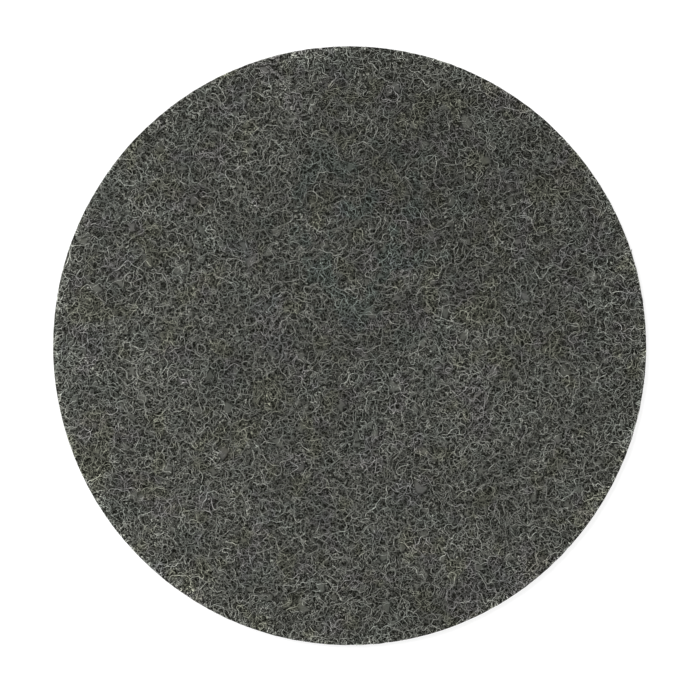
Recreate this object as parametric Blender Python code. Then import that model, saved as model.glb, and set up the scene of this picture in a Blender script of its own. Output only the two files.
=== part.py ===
# Surface conditioning disc: one die-cut round of needled, resin-bonded fibre web.
# Metres, +Z up. The backing side lies on Z = 0 and the open web looks up.

import math
import random

import bmesh
import bpy
from mathutils import Vector
from mathutils.geometry import delaunay_2d_cdt

# Outline, as the die leaves it
disc_diameter = 0.125
oval_stretch = 0.0003  # radius gained along Y and lost along X as the cut web relaxes
rim_steps = 180

# Thickness
web_thickness = 0.0045  # backing side to the highest crests of the web
edge_drop = 0.0012  # the die pinches the upper edge down by this much
edge_width = 0.0016  # how far in from the rim that pinch reaches

# Crimped strands: bundles of bonded fibre that wander over one another
strand_length = 0.027
strand_step = 0.0013  # length of one straight run of a strand
strand_pitch = 0.0096  # distance between the middles of neighbouring strands
strand_stray = 0.004  # how far a middle strays from its place each way
crimp_length = 0.015  # one full wave of crimp
crimp_swing = math.radians(60)  # how far the crimp turns the strand each way
curl_swing = math.radians(80)  # slower curl over the whole strand
layer_drop = 0.0003  # lower strands lie this far under the upper ones
weave_rise = 0.0002  # how far a strand rises and sinks as it goes over and under others
weave_length = 0.009  # one full rise and fall

# Pits between the strands
web_grain = 0.00115  # least distance between two points of the relief
pit_tries = 30000  # places tried for a pit
pit_depth = 0.0014  # floor of the deepest pit under the highest crests
pit_spread = 0.0006  # the shallowest pit is this much less deep

seed = 11
same_place = 1e-7  # points nearer than this would be one
web_colour = (0.075, 0.078, 0.067, 1.0)
web_roughness = 0.88
smooth_angle = math.radians(32)


def clear_scene():
    for obj in list(bpy.data.objects):
        bpy.data.objects.remove(obj, do_unlink=True)


def rim_reach(angle):
    """Distance from the middle to the cut rim in one direction: a slight oval."""
    return disc_diameter / 2 - oval_stretch * math.cos(2 * angle)


def rim_point(step):
    angle = 2 * math.pi * step / rim_steps
    reach = rim_reach(angle)
    return reach * math.cos(angle), reach * math.sin(angle)


def depth_inside(x, y):
    """How far a place lies inside the rim; below zero outside it."""
    return rim_reach(math.atan2(y, x)) - math.hypot(x, y)


def pinch(x, y):
    """How far the die has pressed the web down here, as a quarter round from the rim inwards."""
    share = min(max(depth_inside(x, y) / edge_width, 0.0), 1.0)
    return edge_drop * (1 - math.sqrt(1 - (1 - share) ** 2))


class Relief:
    """Points of the working face, none nearer to another than the web's grain."""

    def __init__(self):
        self.points = []
        self.cells = {}

    def cell(self, x, y):
        return math.floor(x / web_grain), math.floor(y / web_grain)

    def free(self, x, y):
        column, row = self.cell(x, y)
        for i in (column - 1, column, column + 1):
            for j in (row - 1, row, row + 1):
                for px, py, _ in self.cells.get((i, j), ()):
                    if math.hypot(px - x, py - y) < web_grain:
                        return False
        return True

    def add(self, x, y, height):
        point = (x, y, height - pinch(x, y))
        self.points.append(point)
        self.cells.setdefault(self.cell(x, y), []).append(point)

    def add_if_free(self, x, y, height):
        if depth_inside(x, y) > web_grain / 2 and self.free(x, y):
            self.add(x, y, height)


def strand_middles(rng):
    """Places on a triangular grid over the disc, each strayed a little at random."""
    row_gap = strand_pitch * math.sqrt(3) / 2
    reach = disc_diameter / 2
    rows = math.ceil(reach / row_gap)
    columns = math.ceil(reach / strand_pitch)
    for row in range(-rows, rows + 1):
        for column in range(-columns, columns + 1):
            x = (column + (row % 2) / 2) * strand_pitch + rng.uniform(-strand_stray, strand_stray)
            y = row * row_gap + rng.uniform(-strand_stray, strand_stray)
            if math.hypot(x, y) < reach:
                yield x, y


def strand_path(rng, crest):
    """Points of one strand about its middle. Its heading swings with its crimp and its curl."""
    heading, crimp_start, curl_start, rise_start = (rng.uniform(0, 2 * math.pi) for _ in range(4))
    steps = 2 * round(strand_length / strand_step / 2)
    x = y = 0.0
    points = []
    for step in range(steps + 1):
        share = step / steps
        run = share * strand_length
        rise = weave_rise / 2 * (1 + math.sin(2 * math.pi * run / weave_length + rise_start))
        points.append((x, y, crest - rise))
        turn = heading + crimp_swing * math.sin(2 * math.pi * run / crimp_length + crimp_start)
        turn += curl_swing * math.sin(math.pi * share + curl_start)
        x += strand_length / steps * math.cos(turn)
        y += strand_length / steps * math.sin(turn)
    middle = points[steps // 2]
    return [(x - middle[0], y - middle[1], z) for x, y, z in points]


def web_relief():
    """The rim, then upper strands, then what shows of the lower ones, then pits."""
    rng = random.Random(seed)
    relief = Relief()
    for step in range(rim_steps):
        relief.add(*rim_point(step), web_thickness)
    middles = list(strand_middles(rng))
    for layer in (0, 1):
        for x, y in middles[layer::2]:
            for px, py, crest in strand_path(rng, web_thickness - layer * layer_drop):
                relief.add_if_free(x + px, y + py, crest)
    reach = disc_diameter / 2 + oval_stretch
    for _ in range(pit_tries):
        x, y = rng.uniform(-reach, reach), rng.uniform(-reach, reach)
        depth = pit_depth - pit_spread * rng.random()
        relief.add_if_free(x, y, web_thickness - depth)
    return relief.points


def disc_mesh():
    """The relief as triangles, a wall down from its rim and a flat back."""
    points = web_relief()
    flat = [Vector((x, y)) for x, y, _ in points]
    places, _, faces, origins, _, _ = delaunay_2d_cdt(flat, [], [], 0, same_place)
    heights = [points[origin[0]][2] for origin in origins]
    mesh = bmesh.new()
    top = [mesh.verts.new((*place, height)) for place, height in zip(places, heights)]
    for face in faces:
        mesh.faces.new([top[i] for i in face])
    rim = [edge for edge in mesh.edges if edge.is_boundary]
    wall = bmesh.ops.extrude_edge_only(mesh, edges=rim)["geom"]
    for vert in wall:
        if isinstance(vert, bmesh.types.BMVert):
            vert.co.z = 0.0
    foot = [edge for edge in wall if isinstance(edge, bmesh.types.BMEdge) and edge.is_boundary]
    bmesh.ops.contextual_create(mesh, geom=foot)
    bmesh.ops.recalc_face_normals(mesh, faces=mesh.faces)
    data = bpy.data.meshes.new("conditioning_disc")
    mesh.to_mesh(data)
    mesh.free()
    data.shade_smooth()
    data.set_sharp_from_angle(angle=smooth_angle)
    return data


def web_material():
    material = bpy.data.materials.new("bonded_web")
    material.use_nodes = True
    shader = material.node_tree.nodes["Principled BSDF"]
    shader.inputs["Base Color"].default_value = web_colour
    shader.inputs["Roughness"].default_value = web_roughness
    shader.inputs["Metallic"].default_value = 0.0
    return material


clear_scene()
disc = bpy.data.objects.new("conditioning_disc", disc_mesh())
bpy.context.scene.collection.objects.link(disc)
disc.data.materials.append(web_material())
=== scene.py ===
import bpy
import bmesh
import numpy as np
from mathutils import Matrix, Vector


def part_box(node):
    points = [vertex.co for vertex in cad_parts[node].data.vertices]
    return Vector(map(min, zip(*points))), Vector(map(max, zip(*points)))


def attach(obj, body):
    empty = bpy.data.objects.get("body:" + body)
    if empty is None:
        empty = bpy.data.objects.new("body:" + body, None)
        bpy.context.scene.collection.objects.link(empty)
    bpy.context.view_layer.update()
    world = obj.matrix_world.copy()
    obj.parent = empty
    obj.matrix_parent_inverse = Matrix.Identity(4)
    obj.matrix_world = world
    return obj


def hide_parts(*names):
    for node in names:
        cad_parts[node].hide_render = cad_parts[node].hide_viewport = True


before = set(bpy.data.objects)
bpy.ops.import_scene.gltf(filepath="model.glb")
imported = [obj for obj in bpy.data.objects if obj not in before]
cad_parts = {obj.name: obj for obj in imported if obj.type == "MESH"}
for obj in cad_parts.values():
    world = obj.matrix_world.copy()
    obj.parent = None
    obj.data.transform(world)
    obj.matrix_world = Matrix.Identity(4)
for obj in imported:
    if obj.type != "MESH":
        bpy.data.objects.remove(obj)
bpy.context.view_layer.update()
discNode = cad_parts["conditioning_disc"]
discLow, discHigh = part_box("conditioning_disc")
crestHeight = discHigh.z
meanRadius = (discHigh.x - discLow.x + discHigh.y - discLow.y) / 4
ovalStretch = (discHigh.y - discLow.y - discHigh.x + discLow.x) / 4
print("frame loaded: disc of mean radius", round(meanRadius * 1000, 2), "mm")


# Camera: looks straight down, with the disc a little left of and above the frame's middle
photoView = {
    "framePixels": 700,
    "discPixels": 593.6,  # the disc's width in the photo
    "discMiddle": (349.65, 345.69),  # in pixels from the photo's upper left corner
    "distance": 0.6,  # from the crests of the web
    "rimDrop": 0.0012,  # the cut rim lies this far under the crests
    "sensor": 36.0,
}


def addCamera(spec):
    metresPerPixel = (discHigh.x - discLow.x) / spec["discPixels"]
    middle = spec["framePixels"] / 2
    camera = bpy.data.cameras.new("photoCamera")
    camera.sensor_width = spec["sensor"]
    rimDistance = spec["distance"] + spec["rimDrop"]
    camera.lens = spec["sensor"] * rimDistance / (metresPerPixel * spec["framePixels"])
    obj = bpy.data.objects.new("photoCamera", camera)
    bpy.context.scene.collection.objects.link(obj)
    obj.location = (
        (middle - spec["discMiddle"][0]) * metresPerPixel,
        (spec["discMiddle"][1] - middle) * metresPerPixel,
        crestHeight + spec["distance"],
    )
    bpy.context.scene.camera = obj


addCamera(photoView)
print("camera placed")


# Mesh helpers. Every shape is worked out as whole arrays.
tiny = 1e-12  # keeps a division away from zero
tipReach = 0.7  # the point that closes a tube's end lies this many radii past it


def putMesh(name, points, triangles, material, **values):
    mesh = bpy.data.meshes.new(name)
    mesh.vertices.add(len(points))
    mesh.vertices.foreach_set("co", points.astype(np.float32).ravel())
    mesh.loops.add(triangles.size)
    mesh.loops.foreach_set("vertex_index", triangles.astype(np.int32).ravel())
    mesh.polygons.add(len(triangles))
    mesh.polygons.foreach_set("loop_start", np.arange(0, triangles.size, 3, dtype=np.int32))
    mesh.update(calc_edges=True)
    for label, numbers in values.items():
        attribute = mesh.attributes.new(label, "FLOAT", "POINT")
        attribute.data.foreach_set("value", numbers.astype(np.float32).ravel())
    mesh.shade_smooth()
    mesh.materials.append(material)
    piece = bpy.data.objects.new(name, mesh)
    bpy.context.scene.collection.objects.link(piece)
    print(name, len(triangles), "triangles")
    return piece


# The triangles of many like shapes that each have as many points of their own
def repeatFaces(one, count, pointsEach):
    return (one[None] + (np.arange(count) * pointsEach)[:, None, None]).reshape(-1, 3)


def unit(vectors):
    return vectors / np.maximum(np.linalg.norm(vectors, axis=-1, keepdims=True), tiny)


# Points at a distance and an angle from the middle, and at a height where one is given
def polar(reach, angle, *height):
    return np.stack([reach * np.cos(angle), reach * np.sin(angle), *height], axis=-1)


def raised(flat, height):
    return np.concatenate([flat, height[..., None]], axis=-1)


# Angles round a tube, with one point on its crest
def ringTurn(sides):
    return 2 * np.pi * (np.arange(sides) / sides + 0.25)


# Tubes along many paths at once. A ring of points stands square to the path at each of its
# points: centre + radius * (cos a * side + flat * sin a * lift), where side = ahead x up and
# lift = side x ahead.
def sweepTubes(paths, radii, sides, up, flat):
    count, steps, _ = paths.shape
    ahead = unit(np.gradient(paths, axis=1))
    side = unit(np.cross(ahead, np.broadcast_to(up, ahead.shape)))
    lift = np.cross(side, ahead)
    turn = ringTurn(sides)
    across = side[:, :, None] * np.cos(turn)[:, None] + flat * lift[:, :, None] * np.sin(turn)[:, None]
    rings = paths[:, :, None] + radii[:, :, None, None] * across
    past = ahead[:, [0, -1]] * radii[:, [0, -1], None] * np.array([-tipReach, tipReach])[:, None]
    points = np.concatenate([rings.reshape(count, -1, 3), paths[:, [0, -1]] + past], axis=1)
    here = np.arange(steps * sides).reshape(steps, sides)
    beside = np.roll(here, -1, axis=1)
    walls = np.stack([here[:-1], here[1:], beside[1:], here[:-1], beside[1:], beside[:-1]], axis=-1)
    first = np.stack([np.full(sides, steps * sides), here[0], beside[0]], axis=-1)
    last = np.stack([np.full(sides, steps * sides + 1), beside[-1], here[-1]], axis=-1)
    one = np.concatenate([walls.reshape(-1, 3), first, last])
    return points.reshape(-1, 3), repeatFaces(one, count, points.shape[1])


# Tones for the tubes that sweepTubes makes, with painted shade on their lower sides: full on the crest,
# down to the given share of it below
def tubeTones(tone, sides, shadedSideShare):
    rise = (np.sin(ringTurn(sides)) + 1) / 2
    rings = (tone[..., None] * (shadedSideShare + (1 - shadedSideShare) * rise)).reshape(len(tone), -1)
    return np.concatenate([rings, tone[:, [0, -1]] * (1 + shadedSideShare) / 2], axis=1).ravel()


# The rim: distance from the middle = mean radius - stretch * cos(2 * angle)
def rimReach(angle):
    return meanRadius - ovalStretch * np.cos(2 * angle)


def depthInside(points):
    return rimReach(np.arctan2(points[..., 1], points[..., 0])) - np.hypot(points[..., 0], points[..., 1])


# A grid of square cells over the disc holds values that change from place to place
cells = {
    "width": 0.0005,
    "margin": 1.1,  # the grid reaches this many mean radii from the middle
}
cellsAcross = int(2 * np.ceil(cells["margin"] * meanRadius / cells["width"]))


# Counts the points in each cell, or adds up their values there
def addUp(points, values=None):
    place = np.floor(points[..., :2] / cells["width"] + cellsAcross / 2).astype(int)
    place = place[..., 1] * cellsAcross + place[..., 0]
    values = None if values is None else values.ravel()
    summed = np.bincount(place.ravel(), values, cellsAcross ** 2)
    return summed.reshape(cellsAcross, cellsAcross).astype(float)


# Bell-shaped blur, first down the rows and then along them. Its spread is in cells, and it stops
# at three spreads.
def bellBlur(grid, spread):
    reach = int(np.ceil(3 * spread))
    weights = np.exp(-0.5 * (np.arange(-reach, reach + 1) / spread) ** 2)
    for _ in range(2):
        padded = np.pad(grid, ((reach, reach), (0, 0)))
        grid = sum(weight * padded[k:k + len(grid)] for k, weight in enumerate(weights / weights.sum())).T
    return grid


# Reads a grid between the middles of its cells with bilinear weights
def readGrid(grid, points):
    place = points[..., :2] / cells["width"] + cellsAcross / 2 - 0.5
    place = np.clip(place, 0, cellsAcross - 1)
    low = np.minimum(place.astype(int), cellsAcross - 2)
    across, up = np.moveaxis(place - low, -1, 0)
    column, row = low[..., 0], low[..., 1]
    near = grid[row, column] * (1 - across) + grid[row, column + 1] * across
    far = grid[row + 1, column] * (1 - across) + grid[row + 1, column + 1] * across
    return near * (1 - up) + far * up


# Height of the working face: each upper triangle of the solid is sampled at the middles of a
# lattice of small triangles, and the samples are averaged in the cells and blurred
relief = {
    "lattice": 6,
    "blur": 2.2,
    "upperNormal": 0.2,  # a triangle is an upper one if its normal rises more than this
}


def solidTriangles():
    mesh = discNode.data
    mesh.calc_loop_triangles()
    points = np.empty(len(mesh.vertices) * 3, np.float32)
    mesh.vertices.foreach_get("co", points)
    corners = np.empty(len(mesh.loop_triangles) * 3, np.int32)
    mesh.loop_triangles.foreach_get("vertices", corners)
    return points.reshape(-1, 3)[corners.reshape(-1, 3)].astype(float)


def readRelief(spec):
    triangles = solidTriangles()
    normals = unit(np.cross(triangles[:, 1] - triangles[:, 0], triangles[:, 2] - triangles[:, 0]))
    upper = triangles[normals[:, 2] > spec["upperNormal"]]
    i, j = np.meshgrid(np.arange(spec["lattice"]), np.arange(spec["lattice"]))
    keep = i + j < spec["lattice"]
    a, b = (i[keep] + 1 / 3) / spec["lattice"], (j[keep] + 1 / 3) / spec["lattice"]
    weights = np.stack([a, b, 1 - a - b], axis=-1)
    samples = np.einsum("lk,nkd->nld", weights, upper)
    heights = bellBlur(addUp(samples, samples[..., 2]), spec["blur"])
    return heights / np.maximum(bellBlur(addUp(samples), spec["blur"]), tiny)


faceHeights = readRelief(relief)


def heightAt(points):
    return readGrid(faceHeights, points)


print("relief of the working face read")


# Shader helpers. An input of a node is a value or another node's output.
def newGroup(name, inputs, outputs):
    group = bpy.data.node_groups.new(name, "ShaderNodeTree")
    for way, sockets in (("INPUT", inputs), ("OUTPUT", outputs)):
        for label, kind in sockets.items():
            group.interface.new_socket(label, in_out=way, socket_type=kind)
    return group, group.nodes.new("NodeGroupInput"), group.nodes.new("NodeGroupOutput")


def addNode(tree, kind, **settings):
    node = tree.nodes.new(kind)
    inputs = settings.pop("inputs", {})
    for label, setting in settings.items():
        setattr(node, label, setting)
    for label, start in inputs.items():
        socket = node.inputs[label]
        if isinstance(start, bpy.types.NodeSocket):
            tree.links.new(start, socket)
        else:
            socket.default_value = start
    return node


def noise(tree, place, scale):
    return addNode(tree, "ShaderNodeTexNoise", inputs={
        "Vector": place, "Scale": scale, "Detail": 1.0, "Roughness": 0.5}).outputs["Fac"]


# Carries one range over to another in a soft step, and holds its ends past them
def remap(tree, value, fromLow, fromHigh, toLow, toHigh):
    return addNode(tree, "ShaderNodeMapRange", interpolation_type="SMOOTHSTEP", inputs={
        "Value": value, "From Min": fromLow, "From Max": fromHigh,
        "To Min": toLow, "To Max": toHigh}).outputs["Result"]


def calculate(tree, operation, a, b=0.0):
    return addNode(tree, "ShaderNodeMath", operation=operation, inputs={0: a, 1: b}).outputs[0]


def distance(tree, a, b):
    return addNode(tree, "ShaderNodeVectorMath", operation="DISTANCE", inputs={0: a, 1: b}).outputs["Value"]


def shifted(tree, place, shift):
    return addNode(tree, "ShaderNodeVectorMath", operation="ADD", inputs={
        0: place, 1: shift}).outputs["Vector"]


# A Mix node for colours has its factor, A and B in sockets 0, 6 and 7, and its result in output 2
def mixColour(tree, share, a, b, blend="MIX"):
    return addNode(tree, "ShaderNodeMix", data_type="RGBA", blend_type=blend, clamp_factor=False,
                   inputs={0: share, 6: a, 7: b}).outputs[2]


# Colour of the bonded web: dark to light by a tone, then broad soft patches of painted light and
# shade, clouds and stains. A patch raises or lowers the tone by its gain at its middle and fades out
# at its radius; together they make the left and lower left brighter and the upper right darker.
webTint = {
    "lightAndShadePatches": (  # x, y and radius in metres, gain
        (0.017, 0.037, 0.038, -0.24),
        (-0.056, 0.004, 0.036, 0.14),
        (-0.038, -0.034, 0.042, 0.22),
        (-0.001, -0.043, 0.018, 0.08),
        (0.024, -0.014, 0.026, 0.06),
        (0.030, -0.048, 0.025, 0.05),
        (-0.002, 0.010, 0.026, -0.06),
        (0.052, 0.010, 0.032, -0.06),
    ),
    "paintedRimLight": 0.34,
    "rimWidth": 0.0028,
    "cloudScale": 60.0,
    "cloudEdge": (0.3, 0.7),
    "cloudReach": 0.08,  # the clouds lower and raise the tone by this share
    "stainScale": 170.0,
    "cool": (0.895, 1.015, 1.02, 1.0),
    "warm": (1.01, 1.01, 0.91, 1.0),
    "purple": (1.02, 0.98, 1.055, 1.0),
    "coolEdge": (0.53, 0.65),  # a stain starts at the first value of its noise and is full at the second
    "warmEdge": (0.43, 0.34),
    "purpleEdge": (0.56, 0.66),
    "purpleShift": (0.3, 0.1, 0.0),  # the purple stains read their noise this far away
    "coolMiddle": (0.001, 0.022, 0.004),  # the cool stains gather here
    "coolRadii": (0.009, 0.030),  # they are full within the first and weakest past the second
    "coolLeft": 0.3,  # their strength there
}


def addTint(group, share, colour, tint):
    return mixColour(group, share, colour, mixColour(group, 1.0, colour, tint, "MULTIPLY"))


def buildWebTint(spec):
    group, into, out = newGroup("webTint", {
        "Tone": "NodeSocketFloat", "Dark": "NodeSocketColor", "Light": "NodeSocketColor",
    }, {"Color": "NodeSocketColor"})
    place = addNode(group, "ShaderNodeTexCoord").outputs["Object"]
    clouds = noise(group, place, spec["cloudScale"])
    gain = remap(group, clouds, *spec["cloudEdge"], 1 - spec["cloudReach"], 1 + spec["cloudReach"])
    for x, y, radius, reach in spec["lightAndShadePatches"]:
        away = distance(group, place, (x, y, crestHeight))
        gain = calculate(group, "ADD", gain, remap(group, away, 0.0, radius, reach, 0.0))
    fromMiddle = distance(group, place, (0.0, 0.0, crestHeight))
    # Painted light: a band along the rim is lightened by the rim's gain
    rim = remap(group, fromMiddle, meanRadius - spec["rimWidth"], meanRadius, 0.0, spec["paintedRimLight"])
    gain = calculate(group, "ADD", gain, rim)
    tone = calculate(group, "MULTIPLY", into.outputs["Tone"], gain)
    colour = mixColour(group, tone, into.outputs["Dark"], into.outputs["Light"])
    stains = noise(group, place, spec["stainScale"])
    hues = noise(group, shifted(group, place, spec["purpleShift"]), spec["stainScale"])
    away = distance(group, place, spec["coolMiddle"])
    gather = remap(group, away, *spec["coolRadii"], 1.0, spec["coolLeft"])
    cool = calculate(group, "MULTIPLY", remap(group, stains, *spec["coolEdge"], 0.0, 1.0), gather)
    colour = addTint(group, cool, colour, spec["cool"])
    colour = addTint(group, remap(group, stains, *spec["warmEdge"], 0.0, 1.0), colour, spec["warm"])
    colour = addTint(group, remap(group, hues, *spec["purpleEdge"], 0.0, 1.0), colour, spec["purple"])
    group.links.new(colour, out.inputs["Color"])
    return group


# Grit in the resin: a speckle in which each grain has its own shade, and
# height = lumps - grainDepth * distance from the nearest grain's middle
grit = {"grainScale": 4500.0, "grainDepth": 0.5, "lumpScale": 2200.0}


def buildGrit(spec):
    group, _, out = newGroup("grit", {}, {"Height": "NodeSocketFloat", "Speckle": "NodeSocketFloat"})
    place = addNode(group, "ShaderNodeTexCoord").outputs["Object"]
    grains = addNode(group, "ShaderNodeTexVoronoi", inputs={"Vector": place, "Scale": spec["grainScale"]})
    lumps = noise(group, place, spec["lumpScale"])
    hollows = calculate(group, "MULTIPLY", grains.outputs["Distance"], spec["grainDepth"])
    group.links.new(calculate(group, "SUBTRACT", lumps, hollows), out.inputs["Height"])
    shade = addNode(group, "ShaderNodeSeparateColor", inputs={"Color": grains.outputs["Color"]})
    group.links.new(shade.outputs["Red"], out.inputs["Speckle"])
    return group


# Fine web that is too small to be geometry. A line runs where a noise passes through one half, and
# fades out in a soft step where the noise differs from that by the line's width. Two such nets
# cross, the brighter one shows at each place, and pits open between them: dark spots that are
# painted shade in the web's hollows.
fineWeb = {
    "nets": (  # scale, width, level, and how far away the net reads its noise
        (1150.0, 0.045, 1.0, (0.0, 0.0, 0.05)),
        (1350.0, 0.045, 0.8, (0.17, 0.31, 0.05)),
    ),
    "pitScale": 2300.0,
    "pitEdge": (0.51, 0.52),
}


def buildFineWeb(spec):
    group, _, out = newGroup("fineWeb", {}, {"Level": "NodeSocketFloat", "Pit": "NodeSocketFloat"})
    place = addNode(group, "ShaderNodeTexCoord").outputs["Object"]
    levels = []
    for scale, width, level, shift in spec["nets"]:
        fromHalf = calculate(group, "SUBTRACT", noise(group, shifted(group, place, shift), scale), 0.5)
        levels.append(remap(group, calculate(group, "ABSOLUTE", fromHalf), width, 0.0, 0.0, level))
    group.links.new(calculate(group, "MAXIMUM", *levels), out.inputs["Level"])
    pit = remap(group, noise(group, place, spec["pitScale"]), *spec["pitEdge"], 1.0, 0.0)
    group.links.new(pit, out.inputs["Pit"])
    return group


tintGroup = buildWebTint(webTint)
gritGroup = buildGrit(grit)
fineWebGroup = buildFineWeb(fineWeb)


# Materials of the web. The tone is the mesh's own "tone" value, roughened by the grit.
bumpDistance = 0.00015  # metres that one unit of height stands for
resinDark = (0.0115, 0.0122, 0.0082, 1)
finishes = {
    "coatedFibre": {"dark": resinDark, "light": (0.243, 0.249, 0.2225, 1), "speckle": 0.4,
                    "roughness": (0.55, 0.8), "bump": 0.3, "specular": 0.4},
    "resinFilm": {"dark": resinDark, "light": (0.215, 0.220, 0.194, 1), "speckle": 0.25,
                  "roughness": (0.6, 0.8), "bump": 0.2, "specular": 0.2},
    "webGround": {"dark": (0.0047, 0.0050, 0.0030, 1), "light": (0.225, 0.230, 0.202, 1), "speckle": 0.7,
                  "roughness": (0.8, 0.95), "bump": 0.9, "specular": 0.1,
                  "web": {"between": 0.24, "onLine": 1.6, "pitShade": 0.0, "height": 2.0}},
    "backYarn": {"dark": (0.02, 0.02, 0.018, 1), "light": (0.26, 0.262, 0.245, 1), "speckle": 0.15,
                 "roughness": (0.7, 0.9), "bump": 0.4, "specular": 0.25},
}


# Lays the fine web over a speckle and a height: the speckle is multiplied by the line's brightness,
# and in a pit also by the line's level or by the pit's tone, whichever is more, which paints shade in the
# pits
def addFineWeb(tree, speckle, height, web):
    node = addNode(tree, "ShaderNodeGroup", node_tree=fineWebGroup)
    line = node.outputs["Level"]
    bright = remap(tree, line, 0.0, 1.0, web["between"], web["onLine"])
    pit = remap(tree, node.outputs["Pit"], 0.0, 1.0, 1.0, web["pitShade"])
    bright = calculate(tree, "MULTIPLY", bright, calculate(tree, "MAXIMUM", pit, line))
    raisedLine = calculate(tree, "MULTIPLY", line, web["height"])
    return calculate(tree, "MULTIPLY", speckle, bright), calculate(tree, "ADD", height, raisedLine)


def webMaterial(name, spec):
    material = bpy.data.materials.new(name)
    material.use_nodes = True
    tree = material.node_tree
    shader = tree.nodes["Principled BSDF"]
    tone = addNode(tree, "ShaderNodeAttribute", attribute_name="tone").outputs["Fac"]
    gritNode = addNode(tree, "ShaderNodeGroup", node_tree=gritGroup)
    reach = spec["speckle"]
    speckle = remap(tree, gritNode.outputs["Speckle"], 0.0, 1.0, 1 - reach, 1 + reach)
    height = gritNode.outputs["Height"]
    if "web" in spec:
        speckle, height = addFineWeb(tree, speckle, height, spec["web"])
    tint = addNode(tree, "ShaderNodeGroup", node_tree=tintGroup, inputs={
        "Tone": calculate(tree, "MULTIPLY", tone, speckle),
        "Dark": spec["dark"], "Light": spec["light"]})
    tree.links.new(tint.outputs["Color"], shader.inputs["Base Color"])
    rough = remap(tree, gritNode.outputs["Speckle"], 0.0, 1.0, *spec["roughness"])
    tree.links.new(rough, shader.inputs["Roughness"])
    bump = addNode(tree, "ShaderNodeBump", inputs={
        "Height": height, "Strength": spec["bump"], "Distance": bumpDistance})
    tree.links.new(bump.outputs["Normal"], shader.inputs["Normal"])
    shader.inputs["Specular IOR Level"].default_value = spec["specular"]
    return material


materials = {name: webMaterial(name, spec) for name, spec in finishes.items()}
print("materials built")


# Random draws
bellLimit = 1.5  # bell-shaped ones stay within this many spreads of their mean
scatterStray = 0.3  # spread by which places stray, as a share of the gap to the next


def bell(rng, shape, limit=bellLimit):
    return rng.normal(0, 1, shape).clip(-limit, limit)


# Even places, as in a sunflower's head: place k lies at reach * sqrt(k / count), turned by k times
# the golden angle, and strays a little
def scatter(rng, count, margin):
    number = np.arange(count) + 0.5
    angle = number * np.pi * (3 - 5 ** 0.5) + rng.uniform(0, 2 * np.pi)
    gap = (meanRadius + margin) * (np.pi / count) ** 0.5
    places = polar((meanRadius + margin) * np.sqrt(number / count), angle)
    return places + rng.normal(0, scatterStray * gap, (count, 2))


# Sines along a run, each with a phase of its own
def wavesAlong(rng, run, wave):
    return np.sin(2 * np.pi * run / wave + rng.uniform(0, 2 * np.pi, wave.shape))


def runOf(spec):
    return np.arange(round(spec["length"] / spec["step"]) + 1) * spec["step"]


# Crimped fibres. The heading of a fibre is a steady turn plus three sine waves of random length and
# phase along its run, so it curls in loops of changing size. It also weaves up and down:
# height = face - depth - dip * (1 + sin(2 pi * run / wave + phase)) / 2, less its radius, and never
# over the crests. Its tone fades with its depth d under the face as exp(-d / fade), a painted shade,
# and the deeper layers have lower tones, also painted shade.
fibreLayers = {
    "fibresTop": {
        "metres": 14.0, "length": 0.008, "step": 0.0005, "radius": 0.000066, "sides": 3,
        "depth": 0.0, "depthStray": 0.00005, "dip": (0.00005, 0.0004), "tone": (1.8, 3.0),
        "shadedSideShare": 0.0, "seed": 21},
    "fibresUpper": {
        "metres": 14.0, "length": 0.007, "step": 0.0005, "radius": 0.000066, "sides": 3,
        "depth": 0.00008, "depthStray": 0.00006, "dip": (0.00005, 0.0004), "tone": (1.5, 2.6),
        "shadedSideShare": 0.0, "seed": 22},
    "fibresLower": {
        "metres": 10.0, "length": 0.007, "step": 0.0006, "radius": 0.000076, "sides": 3,
        "depth": 0.00030, "depthStray": 0.00010, "dip": (0.0001, 0.0004), "tone": (0.7, 1.3),
        "shadedSideShare": 0.0, "seed": 24},
}
crimp = {
    "waveLengths": ((0.0014, 0.0028), (0.0028, 0.0055), (0.009, 0.03)),
    "swings": ((0.3, 0.9), (0.5, 1.3), (0.2, 0.9)),  # in radians
    "liveliness": (0.5, 1.3),  # some fibres run in long arcs, some are all curls
    "drift": 400.0,  # spread of the steady turn, in radians for each metre
    "dipWaves": (0.0016, 0.0045),
    "fade": 0.0005,
}
# How the coats differ: shares of the radius from fibre to fibre and along each, and the share of
# the tones' range along each
coat = {"radiusStray": 0.18, "lumps": 0.12, "toneStray": 0.15}
coatSeed = 100  # a layer's coats are drawn from its own seed plus this


# Paths with their middles at the origin
def wander(rng, count, run, spec):
    heading = rng.uniform(0, 2 * np.pi, (count, 1)) + rng.normal(0, spec["drift"], (count, 1)) * run
    liveliness = rng.uniform(*spec["liveliness"], (count, 1))
    for lengths, swings in zip(spec["waveLengths"], spec["swings"]):
        wave = rng.uniform(*lengths, (count, 1))
        swing = liveliness * rng.uniform(*swings, (count, 1))
        heading = heading + swing * wavesAlong(rng, run, wave)
    places = np.cumsum(polar(run[1], heading), axis=1)
    return places - places[:, len(run) // 2, None]


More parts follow.
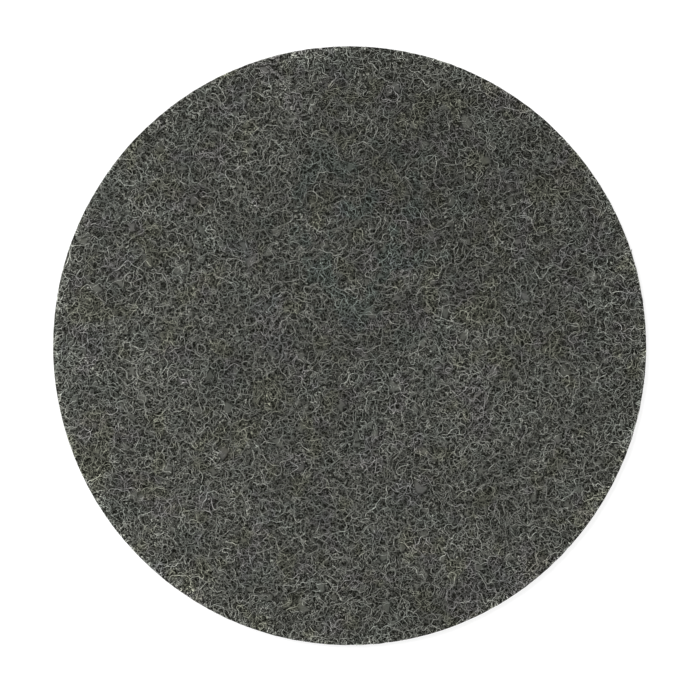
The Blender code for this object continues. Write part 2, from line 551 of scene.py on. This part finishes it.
# The die: keeps of each path the run inside the rim that holds its innermost point, spread anew
# over as many points. The share of a step at which it crosses the rim comes from the depths on
# each side.
def dieCut(paths, inset):
    count, steps, _ = paths.shape
    depth = depthInside(paths) - inset
    middle = depth.argmax(axis=1)
    keep = depth[np.arange(count), middle] > 0
    paths, depth, middle = paths[keep], depth[keep], middle[keep, None]
    number = np.arange(steps)
    before = np.where((depth <= 0) & (number < middle), number, -1).max(axis=1)
    after = np.where((depth <= 0) & (number > middle), number, steps).min(axis=1)
    row = np.arange(len(paths))
    start = np.clip(before, 0, None).astype(float)
    ahead = depth[row, np.clip(before + 1, 0, steps - 1)]
    start += np.where(before >= 0, 1 - ahead / np.maximum(ahead - depth[row, before], tiny), 0)
    end = np.clip(after, None, steps - 1).astype(float)
    behind = depth[row, np.clip(after - 1, 0, steps - 1)]
    outside = depth[row, np.clip(after, None, steps - 1)]
    end -= np.where(after < steps, 1 - behind / np.maximum(behind - outside, tiny), 0)
    place = start[:, None] + (end - start)[:, None] * np.linspace(0, 1, steps)
    low = np.clip(np.floor(place).astype(int), 0, steps - 2)
    share = (place - low)[..., None]
    row = row[:, None]
    return paths[row, low] * (1 - share) + paths[row, low + 1] * share


# Puts tubes along the paths, with radii and tones that differ from fibre to fibre and along each
def coatedTubes(rng, name, paths, spec, materialName, up=(0, 0, 1), fade=1.0):
    count, points, _ = paths.shape
    radii = spec["radius"] * (1 + coat["radiusStray"] * bell(rng, (count, 1)))
    radii = radii * (1 + coat["lumps"] * bell(rng, (count, points)))
    low, high = spec["tone"]
    tone = rng.uniform(low, high, (count, 1))
    tone = tone + coat["toneStray"] * (high - low) * rng.normal(0, 1, (count, points))
    surface, triangles = sweepTubes(paths, radii, spec["sides"], up, spec.get("flat", 1.0))
    tones = tubeTones(tone * fade, spec["sides"], spec["shadedSideShare"])
    return putMesh(name, surface, triangles, materials[materialName], tone=tones)


# Paths of a layer, and how far each point's tone fades in painted shade by its depth. Fibres start
# outside the rim too, by up to half their length, so the count is raised by the wider circle's share.
def layFibres(spec):
    rng = np.random.default_rng(spec["seed"])
    run = runOf(spec)
    margin = spec["length"] / 2
    count = round(spec["metres"] / spec["length"] * (1 + margin / meanRadius) ** 2)
    flat = wander(rng, count, run, crimp) + scatter(rng, count, margin)[:, None]
    flat = dieCut(flat, spec["radius"])
    count = len(flat)
    depth = spec["depth"] + np.abs(rng.normal(0, spec["depthStray"], (count, 1)))
    weave = wavesAlong(rng, run, rng.uniform(*crimp["dipWaves"], (count, 1)))
    depth = depth + rng.uniform(*spec["dip"], (count, 1)) * (1 + weave) / 2
    height = np.minimum(heightAt(flat) - depth, crestHeight) - spec["radius"]
    return raised(flat, height), np.exp(-depth / crimp["fade"])


# Crowding: how much lit fibre lies about a place, as a share of the disc's mean. Where fibres crowd,
# they shade one another: tones are divided by crowding ** evenness.
crowd = {
    "blur": 2.0,  # in cells
    "evenness": 0.9,
    "probes": 400000,  # even places, whose number in a blurred cell says how much of it is on the disc
    "probeSeed": 0,
    "fewest": 0.1,  # a cell counts as holding at least this share of the fullest cell's probes
    "inner": 0.5,  # the mean is over the cells that hold more than this share of them
    "least": 0.3,  # a place counts as crowded at least this much
}


def findCrowding(laid):
    grid = 0
    for spec, paths, fade in laid:
        run = np.linalg.norm(np.gradient(paths, axis=1), axis=-1)
        grid = grid + addUp(paths, fade * run * spec["radius"])
    probes = scatter(np.random.default_rng(crowd["probeSeed"]), crowd["probes"], 0.0)
    inside = bellBlur(addUp(probes), crowd["blur"])
    grid = bellBlur(grid, crowd["blur"]) / np.maximum(inside, crowd["fewest"] * inside.max())
    return grid / grid[inside > crowd["inner"] * inside.max()].mean()


def shadeOf(points):
    return np.maximum(readGrid(crowding, points), crowd["least"]) ** -crowd["evenness"]


laidFibres = [(layer, *layFibres(layer)) for layer in fibreLayers.values()]
crowding = findCrowding(laidFibres)
pieces = []
# Each fibre's tone carries painted shade: its fade by depth, and the crowding's shade
for layerName, (layer, paths, fade) in zip(fibreLayers, laidFibres):
    rng = np.random.default_rng(layer["seed"] + coatSeed)
    pieces.append(coatedTubes(rng, layerName, paths, layer, "coatedFibre", fade=fade * shadeOf(paths)))
print("fibres of the working face laid")


# Ground of the web: the solid's own form, with finer facets, sunk under the fibres, and darkened with its
# depth as painted shade
webGround = {
    "mergeReach": 0.000001,  # points of the solid's loose triangles that lie this near become one
    "cuts": 1,
    "faceShares": (0.4, 0.65),  # of the crests' height: where the face starts, and where it is whole
    "sink": (0.00030, 0.00062),  # the face lies this far under the solid's: at the rim, inside
    "sinkReach": 0.003,  # how far in from the rim the sink grows
    "relief": 0.30,  # share that is kept of the solid's fine relief
    "wallInset": 0.00005,  # the cut edge lies this far inside the rim, among its fibres
    "backLift": 0.00035,  # the back lies this far over the solid's, above the scrim's lower half
    "rough": 0.00012,
    "tone": (0.55, 0.70),
    "toneDepths": (0.0018, 0.0007),  # how far under the crests the first and second tone are reached
    "backTone": 1.0,
    "seed": 3,
}


# Points and triangles of the solid's own form, with each edge cut
def cutFiner(spec):
    shape = bmesh.new()
    shape.from_mesh(discNode.data)
    bmesh.ops.remove_doubles(shape, verts=shape.verts, dist=spec["mergeReach"])
    bmesh.ops.subdivide_edges(shape, edges=shape.edges, cuts=spec["cuts"], use_grid_fill=True)
    bmesh.ops.triangulate(shape, faces=shape.faces)
    mesh = bpy.data.meshes.new("groundWork")
    shape.to_mesh(mesh)
    shape.free()
    points = np.empty(len(mesh.vertices) * 3, np.float32)
    mesh.vertices.foreach_get("co", points)
    corners = np.empty(len(mesh.polygons) * 3, np.int32)
    mesh.polygons.foreach_get("vertices", corners)
    bpy.data.meshes.remove(mesh)
    return points.reshape(-1, 3).astype(float), corners.reshape(-1, 3)


# Places: x and y shrink towards the middle by the inset's share of the radius. Heights: the face
# drops by the sink and strays at random, and where it is whole it is evened out towards its blurred
# height, except for the relief's share. The back rises by the lift, and what lies higher by less,
# down to none at the crests.
def buildGround(spec):
    rng = np.random.default_rng(spec["seed"])
    points, corners = cutFiner(spec)
    share = points[:, 2] / crestHeight
    start, whole = spec["faceShares"]
    face = np.clip((share - start) / (whole - start), 0, 1)
    rimSink, innerSink = spec["sink"]
    inward = np.clip(depthInside(points) / spec["sinkReach"], 0, 1)
    sink = rimSink + (innerSink - rimSink) * inward
    points[:, :2] *= 1 - spec["wallInset"] / meanRadius
    stray = rng.normal(0, spec["rough"], len(points)) * (face > 0)
    even = (1 - spec["relief"]) * (heightAt(points) - points[:, 2]) * (face == 1)
    points[:, 2] += spec["backLift"] * (1 - share) - sink * face + stray + even
    # Tone: painted shade, from the first tone where the face lies deep under the crests to the second where
    # it lies shallow, times the crowding's shade; the back keeps backTone
    low, high = spec["tone"]
    deep, shallow = spec["toneDepths"]
    tone = low + (high - low) * np.clip((points[:, 2] - crestHeight + deep) / (deep - shallow), 0, 1)
    tone = np.where(face > 0, tone * shadeOf(points), spec["backTone"])
    return putMesh("webGround", points, corners, materials["webGround"], tone=tone)


ground = buildGround(webGround)
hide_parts("conditioning_disc")
pieces.append(ground)


# Resin films: thin skins held by the fibres about them, with a point along each and hollow edges
# between. Outline: radius * (1 - hollow * |sin(corners * angle / 2)| ** pinch + uneven * sin(2 *
# angle)), with angles turned at random, then ragged by a random share. The skin is a lens: its two
# faces meet at the outline and bulge by thickness / 2 * (1 - (share of the way out) ** 2).
resinFilms = {
    "count": 400, "radius": (0.0008, 0.0021), "shrink": (0.5, 1.0), "spokes": 18, "rings": (0.6, 1.0),
    "corners": (3, 6),  # three to five
    "hollow": (0.35, 0.65), "pinch": 0.6, "uneven": 0.16, "ragged": 0.08, "thickness": 0.00006,
    "depth": (0.00014, 0.00038), "tone": (0.22, 0.33), "seed": 31,
}


# Triangles of one face of a skin: its middle is point start, its inner rings follow that, and its
# last ring is the outline, whose points start at edge and serve both faces
def fan(start, edge, rings, spokes):
    starts = [start + 1 + k * spokes for k in range(rings - 1)] + [edge]
    here = np.arange(spokes)
    beside = np.roll(here, -1)
    faces = [np.stack([np.full(spokes, start), starts[0] + here, starts[0] + beside], axis=-1)]
    for inner, outer in zip(starts, starts[1:]):
        faces.append(np.stack([inner + here, outer + here, outer + beside], axis=-1))
        faces.append(np.stack([inner + here, outer + beside, inner + beside], axis=-1))
    return np.concatenate(faces)


def buildFilms(spec):
    rng = np.random.default_rng(spec["seed"])
    spokes, widest = spec["spokes"], spec["radius"][1]
    middle = scatter(rng, spec["count"], -widest)
    middle = middle[depthInside(middle) > widest]
    count = len(middle)
    radius = rng.uniform(*spec["radius"], (count, 1)) * rng.uniform(*spec["shrink"], (count, 1))
    angle = 2 * np.pi * np.arange(spokes) / spokes
    corners = rng.integers(*spec["corners"], (count, 1))
    turned = corners * (angle + rng.uniform(0, 2 * np.pi, (count, 1))) / 2
    outline = 1 - rng.uniform(*spec["hollow"], (count, 1)) * np.abs(np.sin(turned)) ** spec["pinch"]
    outline = outline + spec["uneven"] * np.sin(2 * angle + rng.uniform(0, 2 * np.pi, (count, 1)))
    outline = outline * (1 + spec["ragged"] * bell(rng, outline.shape))
    rings = np.array(spec["rings"])
    flat = middle[:, None, None] + polar((radius * outline)[:, None] * rings[:, None], angle)
    sheet = np.concatenate([middle[:, None], flat.reshape(count, -1, 2)], axis=1)
    bulge = np.concatenate([[1.0], np.repeat(1 - rings ** 2, spokes)]) * spec["thickness"] / 2
    base = heightAt(sheet) - rng.uniform(*spec["depth"], (count, 1))
    edge = 1 + (len(rings) - 1) * spokes
    points = np.concatenate([raised(sheet, base + bulge), raised(sheet, base - bulge)[:, :edge]], axis=1)
    upper = fan(0, edge, len(rings), spokes)
    lower = fan(sheet.shape[1], edge, len(rings), spokes)[:, ::-1]
    triangles = repeatFaces(np.concatenate([upper, lower]), count, points.shape[1])
    tone = np.broadcast_to(rng.uniform(*spec["tone"], (count, 1)), points.shape[:2])
    return putMesh("resinFilms", points.reshape(-1, 3), triangles, materials["resinFilm"], tone=tone)


pieces.append(buildFilms(resinFilms))
print("ground and films built")


# Cut edge: fibres that lie in the die-cut wall. Run t along the wall: arc = start + t + sway *
# sin(2 pi t / wave), height = base + swing * sin(2 pi t / other wave), turned back upwards at the
# lowest height and held at the highest. Depth in the wall = inset + weave * (1 + sin(t / first
# weave length + arc / second weave length)).
edgeFibres = {
    "count": 800, "length": 0.0062, "step": 0.00055, "radius": 0.000092, "sides": 3,
    "waves": (0.0022, 0.0055), "sway": (0.0001, 0.0006), "swing": (0.0001, 0.0006),
    "inset": (-0.00004, 0.00006), "weave": 0.00004, "weaveLengths": (0.0009, 0.002),
    "lowest": 0.00018, "highest": 0.0031, "tone": (0.8, 2.1), "shadedSideShare": 0.45, "seed": 41,
}
# Cut ends: short stubs that point out through the wall where the die went through a fibre. Their
# tips lie up to proud inside or outside the rim, and tilt is the spread of their direction.
cutEnds = {
    "count": 2600, "length": (0.0004, 0.0009), "tilt": 0.35, "radius": 0.000098, "sides": 3,
    "lowest": 0.00070, "highest": 0.00335, "proud": 0.00009, "tone": (0.8, 2.4),
    "shadedSideShare": 0.8, "seed": 42,
}


def buildEdgeFibres(spec):
    rng = np.random.default_rng(spec["seed"])
    count = spec["count"]
    run = runOf(spec)

    def sway(reach):
        wave = rng.uniform(*spec["waves"], (count, 1))
        return rng.uniform(*reach, (count, 1)) * wavesAlong(rng, run, wave)

    arc = rng.uniform(0, 2 * np.pi * meanRadius, (count, 1)) + run + sway(spec["sway"])
    height = rng.uniform(spec["lowest"], spec["highest"], (count, 1)) + sway(spec["swing"])
    height = np.minimum(spec["lowest"] + np.abs(height - spec["lowest"]), spec["highest"])
    angle = arc / meanRadius
    alongRun, alongArc = spec["weaveLengths"]
    inset = rng.uniform(*spec["inset"], (count, 1))
    inset = inset + spec["weave"] * (1 + np.sin(run / alongRun + arc / alongArc))
    paths = polar(rimReach(angle) - inset - spec["radius"], angle, height)
    outwards = unit(paths * (1, 1, 0))
    return coatedTubes(rng, "edgeFibres", paths, spec, "coatedFibre", outwards)


def buildCutEnds(spec):
    rng = np.random.default_rng(spec["seed"])
    count = spec["count"]
    angle = rng.uniform(0, 2 * np.pi, count)
    height = rng.uniform(spec["lowest"], spec["highest"], count)
    proud = rng.uniform(-spec["proud"], spec["proud"], count)
    tip = polar(rimReach(angle) + proud - tipReach * spec["radius"], angle, height)
    inward = -unit(tip * (1, 1, 0)) + rng.normal(0, spec["tilt"], (count, 3))
    root = tip + unit(inward) * rng.uniform(*spec["length"], (count, 1))
    return coatedTubes(rng, "cutEnds", np.stack([root, tip], axis=1), spec, "coatedFibre")


pieces += [buildEdgeFibres(edgeFibres), buildCutEnds(cutEnds)]


# Backing: a plain-woven scrim. Thread number k keeps to k times the pitch and goes over and under
# the threads across it: height = middle + rise * cos(pi * (place / pitch + k)).
scrim = {
    "pitch": 0.0018, "radius": 0.00027, "flat": 0.55, "sides": 5, "middle": 0.00030, "rise": 0.00007,
    "stray": 0.00008, "strayLimit": 2.0, "inset": 0.00015, "tone": (0.42, 0.78), "shadedSideShare": 0.5,
    "seed": 51,
}
# Fuzz: crimped fibres of the web that the needles pushed through the scrim. Each has a level that
# strays: height = level + wave * sin(2 pi * run / length of wave), and never under the lowest.
backFuzz = {
    "metres": 9.0, "length": 0.006, "step": 0.0006, "radius": 0.000075, "sides": 3, "inset": 0.00015,
    "level": 0.00022, "levelStray": 0.00009, "wave": 0.00006, "waveLengths": (0.002, 0.005),
    "lowest": 0.000105, "tone": (0.5, 1.4), "shadedSideShare": 0.5, "seed": 52,
}
down = (0, 0, -1)


def buildScrim(spec):
    rng = np.random.default_rng(spec["seed"])
    pitch = spec["pitch"]
    threads = int(meanRadius / pitch)
    number = np.arange(-threads, threads + 1)[:, None]
    along = np.arange(-threads - 1, threads + 2)[None] * pitch
    sets = []
    for first, second, sign in ((0, 1, 1), (1, 0, -1)):  # warp, weft
        flat = np.empty((len(number), along.size, 2))
        flat[..., first] = along
        flat[..., second] = number * pitch + spec["stray"] * bell(rng, flat.shape[:2], spec["strayLimit"])
        flat = dieCut(flat, spec["inset"])
        line = np.round(flat[..., second].mean(axis=1, keepdims=True) / pitch)
        wave = np.cos(np.pi * (flat[..., first] / pitch + line))
        sets.append(raised(flat, spec["middle"] + sign * spec["rise"] * wave))
    return coatedTubes(rng, "backScrim", np.concatenate(sets), spec, "backYarn", down)


def buildFuzz(spec):
    rng = np.random.default_rng(spec["seed"])
    run = runOf(spec)
    count = round(spec["metres"] / spec["length"])
    flat = wander(rng, count, run, crimp) + scatter(rng, count, 0.0)[:, None]
    flat = dieCut(flat, spec["inset"])
    count = len(flat)
    wave = spec["wave"] * wavesAlong(rng, run, rng.uniform(*spec["waveLengths"], (count, 1)))
    height = spec["level"] + rng.normal(0, spec["levelStray"], (count, 1)) + wave
    paths = raised(flat, np.maximum(height, spec["lowest"]))
    return coatedTubes(rng, "backFuzz", paths, spec, "backYarn", down)


pieces += [buildScrim(scrim), buildFuzz(backFuzz)]
print("cut edge and backing built")

for piece in pieces:
    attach(piece, "root")


# Floor and light
studio = {
    "floorSize": 4.0,
    "floorShade": 0.22,  # how much the floor that is seen shows its shadow
    "floorGlow": 0.86,  # brings its lit part up to white
    "floorBounce": 0.8,  # the grey that it sends back to the disc
    "worldStrength": 0.38,
    "keyPlace": (-0.28, 0.24, 0.95),
    "keySize": 0.25,
    "keyPower": 10.0,
}


def grey(level):
    return (level, level, level, 1)


# Rays from the camera, a mirror or glass meet a white floor with a soft shadow, and all others
# meet a plain grey one
def addFloor(spec):
    half = spec["floorSize"] / 2
    corners = np.array([(-half, -half, 0), (half, -half, 0), (half, half, 0), (-half, half, 0)], float)
    material = bpy.data.materials.new("whiteFloor")
    material.use_nodes = True
    tree = material.node_tree
    tree.nodes.clear()
    lit = addNode(tree, "ShaderNodeBsdfDiffuse", inputs={"Color": grey(spec["floorShade"])})
    plain = addNode(tree, "ShaderNodeBsdfDiffuse", inputs={"Color": grey(spec["floorBounce"])})
    glow = addNode(tree, "ShaderNodeEmission", inputs={"Color": grey(1), "Strength": spec["floorGlow"]})
    both = addNode(tree, "ShaderNodeAddShader", inputs={0: lit.outputs[0], 1: glow.outputs[0]})
    rays = addNode(tree, "ShaderNodeLightPath")
    seen = calculate(tree, "MAXIMUM", rays.outputs["Is Camera Ray"], rays.outputs["Is Glossy Ray"])
    seen = calculate(tree, "MAXIMUM", seen, rays.outputs["Is Transmission Ray"])
    mixed = addNode(tree, "ShaderNodeMixShader", inputs={
        0: seen, 1: plain.outputs[0], 2: both.outputs[0]})
    out = addNode(tree, "ShaderNodeOutputMaterial")
    tree.links.new(mixed.outputs[0], out.inputs["Surface"])
    floor = putMesh("floor", corners, np.array([(0, 1, 2), (0, 2, 3)]), material)


# The camera sees a white world, and a dim one lights the disc with the key lamp
def addLight(spec):
    world = bpy.data.worlds.new("studioWorld")
    bpy.context.scene.world = world
    world.use_nodes = True
    tree = world.node_tree
    tree.nodes.clear()
    dim = addNode(tree, "ShaderNodeBackground", inputs={
        "Color": grey(1), "Strength": spec["worldStrength"]})
    white = addNode(tree, "ShaderNodeBackground", inputs={"Color": grey(1), "Strength": 1.0})
    rays = addNode(tree, "ShaderNodeLightPath")
    mixed = addNode(tree, "ShaderNodeMixShader", inputs={
        0: rays.outputs["Is Camera Ray"], 1: dim.outputs[0], 2: white.outputs[0]})
    out = addNode(tree, "ShaderNodeOutputWorld")
    tree.links.new(mixed.outputs[0], out.inputs["Surface"])
    lamp = bpy.data.lights.new("key", "AREA")
    lamp.size = spec["keySize"]
    lamp.energy = spec["keyPower"]
    key = bpy.data.objects.new("key", lamp)
    bpy.context.scene.collection.objects.link(key)
    key.location = spec["keyPlace"]
    key.rotation_euler = (-key.location).to_track_quat("-Z", "Y").to_euler()


addFloor(studio)
addLight(studio)
bpy.context.scene.view_settings.view_transform = "Standard"
print("floor and light placed")
